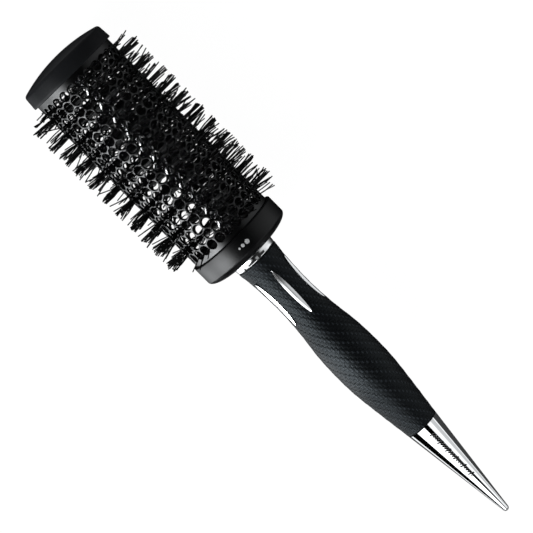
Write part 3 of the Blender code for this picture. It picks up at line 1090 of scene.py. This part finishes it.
class BRUSH_OT_grip(bpy.types.Operator):
    """Build the rubber grip and cut its leaf windows"""

    bl_idname = "brush.grip"
    bl_label = "Grip"

    def execute(self, context):
        s = settings("handle")
        length = RUBBER_END - RUBBER_START
        rubber = grip_rubber(s.rubber, s.roughness, s.cells_round, length / round(length / s.cell_length))
        sleeve = add_piece("grip_sleeve", grip_mesh(s), rubber, "grip_rubber", "grip")
        cutters = link_object("window_cutters", leaf_prisms(s))
        cut = sleeve.modifiers.new("windows", "BOOLEAN")
        cut.operation = "DIFFERENCE"
        cut.solver = "EXACT"
        cut.object = cutters
        context.view_layer.update()
        evaluated = sleeve.evaluated_get(context.evaluated_depsgraph_get())
        mesh = bpy.data.meshes.new_from_object(evaluated)
        sleeve.modifiers.clear()
        sleeve.data = mesh
        dress(mesh, rubber)
        smooth(mesh, 60.0)
        bpy.data.objects.remove(cutters)
        return {"FINISHED"}


def leaf_mesh(s, bearing):
    """A ridged chrome leaf that fills a window and stands proud of the rubber, with two falling flanks."""
    knots = grip_knots()
    gap, proud, slope, foot = 0.12 * MM, 0.7 * MM, 0.36, 6.9 * MM
    count = 40
    points, faces = [], []
    out, side = out_and_side(bearing)
    length = s.window_length - 2 * gap
    for i in range(count + 1):
        t = i / count
        station = s.window_station + (t - 0.5) * length
        half = max(leaf_half_width(t, s.window_width - 2 * gap), 0.02 * MM)
        ridge = smooth_radius(knots, station) + proud
        edge = ridge - slope * half
        blunt, shoulder = 0.08 * half, ridge - 0.02 * MM
        section = [(-half, foot), (-half, edge), (-blunt, shoulder), (0.0, ridge), (blunt, shoulder),
                   (half, edge), (half, foot)]
        middle = place(station, 0.0, 0.0)
        points += [middle + side * across + out * level for across, level in section]
    n = len(section)
    faces += ring_faces(0, count + 1, n)
    faces.append(list(range(n)))
    faces.append(list(range(count * n, count * n + n)))
    return mesh_from("leaf", points, faces, 25.0)


class BRUSH_OT_sleeve(bpy.types.Operator):
    """Build the chrome neck ring and the ridged leaves in the grip's windows"""

    bl_idname = "brush.sleeve"
    bl_label = "Neck Sleeve"

    def execute(self, context):
        s = settings("handle")
        chrome = chrome_plate("bright_chrome", s.chrome, 0.045, False)
        edge, bore, taper = 0.45 * MM, 4.9 * MM, math.radians(6.0)
        ring_start, ring_end = RING_START - 1.1 * MM, RUBBER_START - 0.05 * MM
        fall = (ring_end - ring_start - 2 * edge) * math.tan(taper)
        profile = [
            (ring_start, bore),
            *arc(ring_start + edge, RING_RADIUS - edge, edge, 180.0, 90.0, 7),
            *arc(ring_end - edge, RING_RADIUS - fall - edge, edge, 90.0, 0.0, 7),
            (ring_end, 7.2 * MM),
            (SLEEVE_END, 7.2 * MM),
            (SLEEVE_END, bore),
        ]
        add_turned("neck_ring", profile, SLIM_STEPS, True, chrome, "chrome_plate", "neck_sleeve")
        for i, bearing in enumerate(window_bearings(s)):
            add_piece(f"window_leaf_{i + 1}", leaf_mesh(s, bearing), chrome, "chrome_plate", "neck_sleeve")
        return {"FINISHED"}


class BRUSH_OT_tip(bpy.types.Operator):
    """Build the pointed chrome tip with its engraved scale"""

    bl_idname = "brush.tip"
    bl_label = "Tip"

    def execute(self, context):
        s = settings("handle")
        end_radius, stud_radius, socket_radius = 1.4 * MM, 1.7 * MM, 5.3 * MM
        stud_end, socket_end = 238.0 * MM, 212.3 * MM
        start = RUBBER_END + 0.05 * MM
        fall = (TIP_RADIUS - end_radius) / (TIP_END - end_radius - TIP_START)
        slope = math.degrees(math.atan(fall))
        cone = []
        count = 24
        for i in range(count):
            station = start + (TIP_END - end_radius - start) * i / count
            cone.append((station, TIP_RADIUS - (station - TIP_START) * fall))
        profile = [
            (stud_end, 0.0),
            (stud_end, stud_radius),
            (socket_end, 4.87 * MM),
            (socket_end, socket_radius),
            (start, socket_radius),
            *cone,
            *arc(TIP_END - end_radius, 0.0, end_radius, 90.0 - slope, 0.0, 10)[:-1],
            (TIP_END, 0.0),
        ]
        chrome = chrome_plate("engraved_chrome", s.chrome, 0.04, True)
        add_turned("tip_cone", profile, SLIM_STEPS, False, chrome, "chrome_plate", "tip")
        return {"FINISHED"}


# Studio


def studio_light(s):
    """A large soft panel on the -Y side, a fill on the other and dark gaps between, as seen from the brush.

    Towards the tip the light is banded, once for the chrome ring and once for the tip, and a faint light
    comes from beyond both ends of the brush."""
    world = bpy.data.worlds.new("studio")
    bpy.context.scene.world = world
    g = Graph(world)
    heading = g.node("ShaderNodeTexCoord", output=0)
    x, y, z = g.split(heading)
    turn = (-y).arctan2(z) / math.tau + 0.5  # 0.5 is straight up, and more is towards -Y

    def levels_round(*stops):
        """A level that changes round the brush, with its stops in degrees from straight up."""
        placed = [(0.5 + degrees / 360.0, level) for degrees, level in stops]
        return g.node("ShaderNodeValToRGB", {"stops": placed}, [turn])

    panel = levels_round(
        (18, 0.0), (27, 0.02), (36, 0.14), (46, 0.66), (55, 1.0), (70, 0.97), (80, 0.68), (93, 0.42),
        (116, 0.28), (130, 0.13), (145, 0.04), (165, 0.005))
    fill = levels_round(
        (-165, 0.005), (-140, 0.02), (-118, 0.2), (-92, 0.9), (-63, 0.92), (-42, 0.65), (-24, 0.03),
        (25, 0.0), (70, 0.6), (110, 0.4), (160, 0.05))
    tip_bands = levels_round(
        (-150, 0.05), (-134, 0.05), (-89, 0.06), (-88, 1.3), (-82, 1.3), (-80, 0.66), (-53, 0.7),
        (-50, 1.3), (-24, 1.3), (-22, 0.0), (7, 0.0), (9, 2.2), (66, 2.2), (68, 0.0), (114, 0.0),
        (116, 1.3), (130, 1.3), (133, 0.1))
    ring_bands = levels_round(
        (-150, 0.02), (-125, 0.06), (-98, 1.1), (-75, 1.0), (-60, 0.7), (-54, 0.7), (-49, 0.03),
        (-10, 0.02), (-7, 0.3), (3, 0.3), (8, 0.02), (54, 0.03), (63, 1.3), (79, 1.3), (82, 0.05),
        (91, 0.05), (94, 1.6), (132, 1.4), (150, 0.1))
    facing = ((1.0 + z) / 2.0).root()  # how squarely a surface faces up that reflects this light upwards
    past_ring = g.rise(x - 0.21 * facing, 0.16, 0.19)
    beside_panel = 0.36 + 0.64 * g.rise(x, 0.0, 0.1)
    beyond_cap = g.rise(x, -0.16, 0.02)
    near_tip = g.rise(x, 0.20, 0.24)
    sideways = panel * beside_panel * s.panel + fill * s.fill
    beyond_tip = g.rise(x, 0.78, 0.62)
    banded = tip_bands * past_ring + ring_bands * (1.0 - past_ring)
    level = sideways * beyond_cap * (1.0 - near_tip) + banded * near_tip * beyond_tip
    past_ends = g.rise(x, -0.35, -0.7) + g.rise(x, 0.76, 0.92)
    level = level + past_ends * 0.3
    light = g.node("ShaderNodeBackground", {}, {"Color": (0.955, 0.98, 1.0, 1.0), "Strength": level})
    backdrop = g.node("ShaderNodeBackground", {}, {"Color": (1.0, 1.0, 1.0, 1.0), "Strength": 1.0})
    seen = g.node("ShaderNodeLightPath")
    both = g.node("ShaderNodeMixShader", {}, [seen, light, backdrop])
    g.node("ShaderNodeOutputWorld", {}, {"Surface": both})


class BRUSH_OT_stage(bpy.types.Operator):
    """Add the floor, the studio light and the camera"""

    bl_idname = "brush.stage"
    bl_label = "Studio"

    def execute(self, context):
        s = settings("studio")
        scene = context.scene
        half = 3.0
        corners = [(-half, -half, 0), (half, -half, 0), (half, half, 0), (-half, half, 0)]
        mesh = bpy.data.meshes.new("floor")
        mesh.from_pydata(corners, [], [(0, 1, 2, 3)])
        floor = link_object("floor", mesh)
        dress(mesh, light_floor(s.floor))
        floor.visible_glossy = False
        studio_light(s)
        scene.view_settings.view_transform = "Standard"

        camera = link_object("camera", bpy.data.cameras.new("camera"))
        camera.data.sensor_width = 36.0
        camera.data.lens = s.lens
        back = Vector((-math.sin(s.lean), 0.0, math.cos(s.lean)))
        along = Vector((math.cos(s.lean), 0.0, math.sin(s.lean)))  # the picture's direction of the brush
        across = Vector((0.0, 1.0, 0.0))
        right = along * math.cos(s.roll) + across * math.sin(s.roll)
        up = across * math.cos(s.roll) - along * math.sin(s.roll)
        target = place(s.aim, 0.0, 0.0) + across * s.aim_side
        turn = Matrix((right, up, back)).transposed().to_4x4()
        camera.matrix_world = Matrix.Translation(target + back * s.distance) @ turn
        scene.camera = camera
        return {"FINISHED"}


# Add-on


class BRUSH_PT_panel(bpy.types.Panel):
    bl_idname = "BRUSH_PT_panel"
    bl_label = "Round Barrel Brush"
    bl_space_type = "VIEW_3D"
    bl_region_type = "UI"
    bl_category = "Brush"

    def draw(self, context):
        for operator in OPERATORS:
            self.layout.operator(operator.bl_idname)


GROUPS = {
    "barrel": BRUSH_PG_barrel,
    "bristles": BRUSH_PG_bristles,
    "plastic": BRUSH_PG_plastic,
    "handle": BRUSH_PG_handle,
    "studio": BRUSH_PG_studio,
}
OPERATORS = [
    BRUSH_OT_stage,
    BRUSH_OT_barrel,
    BRUSH_OT_wires,
    BRUSH_OT_bristles,
    BRUSH_OT_cap,
    BRUSH_OT_collar,
    BRUSH_OT_inside,
    BRUSH_OT_sleeve,
    BRUSH_OT_grip,
    BRUSH_OT_tip,
]


CLASSES = [*GROUPS.values(), *OPERATORS, BRUSH_PT_panel]


def register():
    for one in CLASSES:
        bpy.utils.register_class(one)
    for name, group in GROUPS.items():
        setattr(bpy.types.Scene, f"brush_{name}", bpy.props.PointerProperty(type=group))


def unregister():
    for name in GROUPS:
        delattr(bpy.types.Scene, f"brush_{name}")
    for one in reversed(CLASSES):
        bpy.utils.unregister_class(one)


def main():
    register()
    for operator in OPERATORS:
        getattr(bpy.ops.brush, operator.bl_idname.split(".")[1])()


if __name__ == "__main__":
    main()
